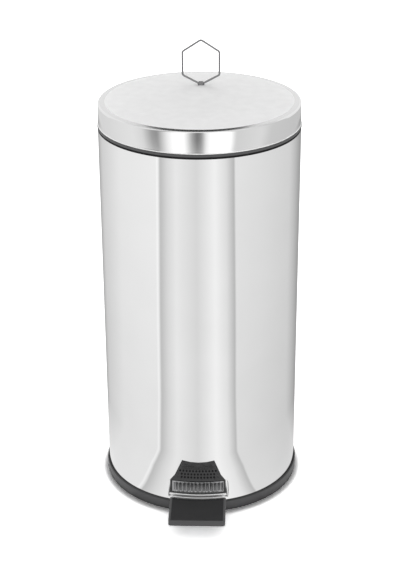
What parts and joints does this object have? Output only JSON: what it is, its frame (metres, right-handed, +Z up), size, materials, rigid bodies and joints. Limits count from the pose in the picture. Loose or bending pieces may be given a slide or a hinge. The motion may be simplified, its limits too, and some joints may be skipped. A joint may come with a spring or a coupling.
{
  "type": "pedal trash can",
  "caption": "Round steel pedal bin with a hinged lid, foot pedal and push-rod linkage, black hood and rim, a wire ring handle and a lift-out bucket.",
  "frame": {"origin": "on the can's axis at the floor", "axes": "+Z up, the pedal faces -Y, the lid's hinge is at +Y"},
  "size_m": [0.2972, 0.3909, 0.6665],
  "materials": {
    "polished_steel": "mirror polished stainless steel",
    "lid_steel": "stainless steel, satin top and polished skirt",
    "trim_chrome": "bright chrome",
    "zinc_steel": "zinc plated steel",
    "base_plastic": "moulded dark grey plastic, fine grain",
    "black_plastic": "moulded black plastic",
    "tread_plastic": "moulded black plastic, fine grain",
    "bucket_plastic": "moulded dark grey plastic"
  },
  "bodies": {
    "can": {"outer_shell": "polished_steel", "base_ring": "base_plastic", "base_pan": "black_plastic", "base_screws": "zinc_steel", "top_rim": "black_plastic", "bucket_ledge": "black_plastic", "hinge_bracket": "zinc_steel", "hinge_rivets": "zinc_steel", "hinge_pin": "zinc_steel", "hinge_cover": "black_plastic", "rod_guides": "black_plastic", "lever_pin": "zinc_steel", "lever_clips": "zinc_steel", "pedal_hood": "black_plastic", "hood_panel": "trim_chrome", "hood_trim": "trim_chrome", "hood_screws": "zinc_steel"},
    "lid": {"lid_shell": "lid_steel", "lid_inner_ring": "black_plastic", "lid_bracket": "zinc_steel", "ring_saddle": "lid_steel"},
    "ring": {"ring_handle": "polished_steel"},
    "rod": {"push_rod": "zinc_steel", "rod_collars": "zinc_steel", "rod_cap": "zinc_steel"},
    "lever": {"pedal_lever": "zinc_steel", "pedal_tread": "tread_plastic", "tread_rivets": "zinc_steel"},
    "bucket": {"inner_bucket": "bucket_plastic"},
    "bail": {"bucket_bail": "zinc_steel", "bail_grip": "black_plastic"}
  },
  "joints": [
    {"name": "lid_hinge", "type": "hinge", "parent": "can", "child": "lid", "pos_m": [0, 0.1565, 0.5705], "axis": [-1, 0, 0], "range_deg": [0, 75]},
    {"name": "rod_slide", "type": "slide", "parent": "can", "child": "rod", "axis": [0, 0, 1], "range_m": [0, 0.0259]},
    {"name": "pedal_pivot", "type": "hinge", "parent": "can", "child": "lever", "pos_m": [0, -0.079, 0.0268], "axis": [1, 0, 0], "range_deg": [0, 6.8]},
    {"name": "ring_swing", "type": "hinge", "parent": "lid", "child": "ring", "pos_m": [0, 0.072, 0.6014], "axis": [1, 0, 0], "range_deg": [-90, 90]},
    {"name": "bucket_lift", "type": "slide", "parent": "can", "child": "bucket", "axis": [0, 0, 1], "range_m": [0, 0.012]},
    {"name": "bail_swing", "type": "hinge", "parent": "bucket", "child": "bail", "pos_m": [0, 0, 0.5644], "axis": [-1, 0, 0], "range_deg": [0, 6]}
  ],
  "couplings": [
    {"joint": "rod_slide", "follows": "lid_hinge", "m_per_rad": 0.0197},
    {"joint": "pedal_pivot", "follows": "lid_hinge", "ratio": 0.090217}
  ]
}
